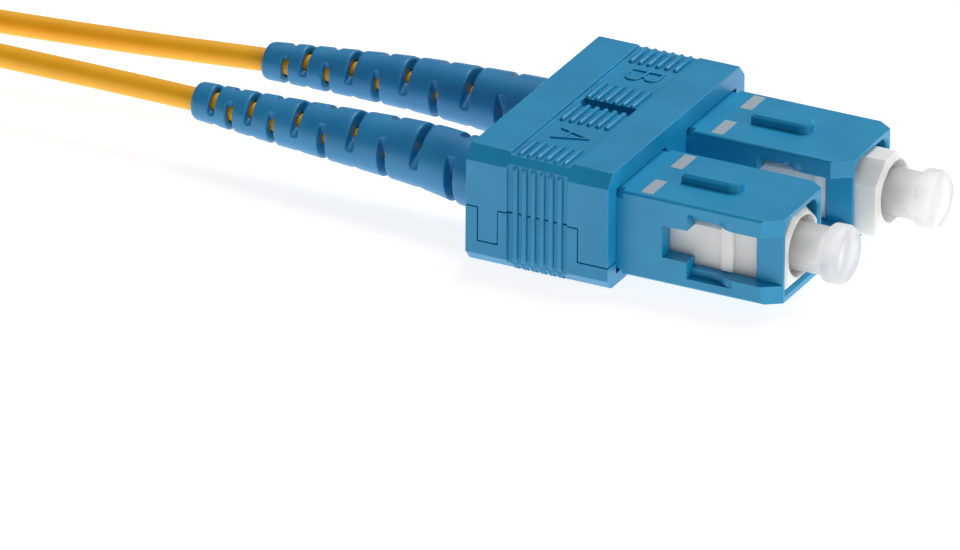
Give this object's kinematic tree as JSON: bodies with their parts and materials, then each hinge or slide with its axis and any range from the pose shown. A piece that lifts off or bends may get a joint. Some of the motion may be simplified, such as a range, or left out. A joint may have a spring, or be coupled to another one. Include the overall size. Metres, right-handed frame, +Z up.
{
  "type": "duplex sc fibre connector",
  "caption": "Duplex SC fibre connector: push-pull plugs side by side in a snap-together clip, with ribbed boots, dust caps and a tied bundle of yellow cable.",
  "frame": {"origin": "centre of the duplex clip's flat base", "axes": "+X is the mating direction, +Y runs from plug A to plug B, +Z is up, on the side of the polarity keys"},
  "size_m": [0.1514, 0.0252, 0.0135],
  "materials": {
    "clip_blue": "satin moulded",
    "grip_blue": "satin moulded",
    "frame_white": "satin moulded",
    "ferrule_ceramic": "polished ceramic",
    "plated_metal": "nickel plated",
    "spring_steel": "drawn wire",
    "crimp_metal": "satin",
    "fibre_buffer": "smooth",
    "aramid_yarn": "loose yarn",
    "boot_blue": "soft satin",
    "cap_translucent": "frosted, translucent",
    "cable_yellow": "satin jacket",
    "tie_fabric": "hook and loop",
    "mark_white": "printed marks on the outer housings"
  },
  "bodies": {
    "housing": {"clip_upper_cover": "clip_blue", "clip_lower_cover": "clip_blue", "grip_a": "grip_blue", "grip_b": "grip_blue"},
    "plug_a": {"plug_frame_a": "frame_white", "ferrule_spring_a": "spring_steel", "stop_ring_a": "plated_metal", "aramid_yarn_a": "aramid_yarn", "crimp_sleeve_a": "crimp_metal", "boot_a": "boot_blue", "cable_a": "cable_yellow", "cable_bundle_a": "cable_yellow", "cable_tie": "tie_fabric"},
    "ferrule_unit_a": {"ferrule_a": "ferrule_ceramic", "ferrule_flange_a": "plated_metal", "buffered_fibre_a": "fibre_buffer"},
    "cap_a": {"dust_cap_a": "cap_translucent"},
    "plug_b": {"plug_frame_b": "frame_white", "ferrule_spring_b": "spring_steel", "stop_ring_b": "plated_metal", "aramid_yarn_b": "aramid_yarn", "crimp_sleeve_b": "crimp_metal", "boot_b": "boot_blue", "cable_b": "cable_yellow", "cable_bundle_b": "cable_yellow"},
    "ferrule_unit_b": {"ferrule_b": "ferrule_ceramic", "ferrule_flange_b": "plated_metal", "buffered_fibre_b": "fibre_buffer"},
    "cap_b": {"dust_cap_b": "cap_translucent"}
  },
  "joints": [
    {"name": "plug_a_slide", "type": "slide", "parent": "housing", "child": "plug_a", "axis": [1, 0, 0], "range_m": [0, 0.0021]},
    {"name": "ferrule_a_press", "type": "slide", "parent": "plug_a", "child": "ferrule_unit_a", "axis": [1, 0, 0], "range_m": [-0.001, 0], "stiffness_N_per_m": 1300, "deforming": ["ferrule_spring_a"]},
    {"name": "dust_cap_a_pull", "type": "slide", "parent": "ferrule_unit_a", "child": "cap_a", "axis": [1, 0, 0], "range_m": [0, 0.02]},
    {"name": "plug_b_slide", "type": "slide", "parent": "housing", "child": "plug_b", "axis": [1, 0, 0], "range_m": [-0.0021, 0]},
    {"name": "ferrule_b_press", "type": "slide", "parent": "plug_b", "child": "ferrule_unit_b", "axis": [1, 0, 0], "range_m": [-0.001, 0], "stiffness_N_per_m": 1300, "deforming": ["ferrule_spring_b"]},
    {"name": "dust_cap_b_pull", "type": "slide", "parent": "ferrule_unit_b", "child": "cap_b", "axis": [1, 0, 0], "range_m": [0, 0.02]}
  ]
}
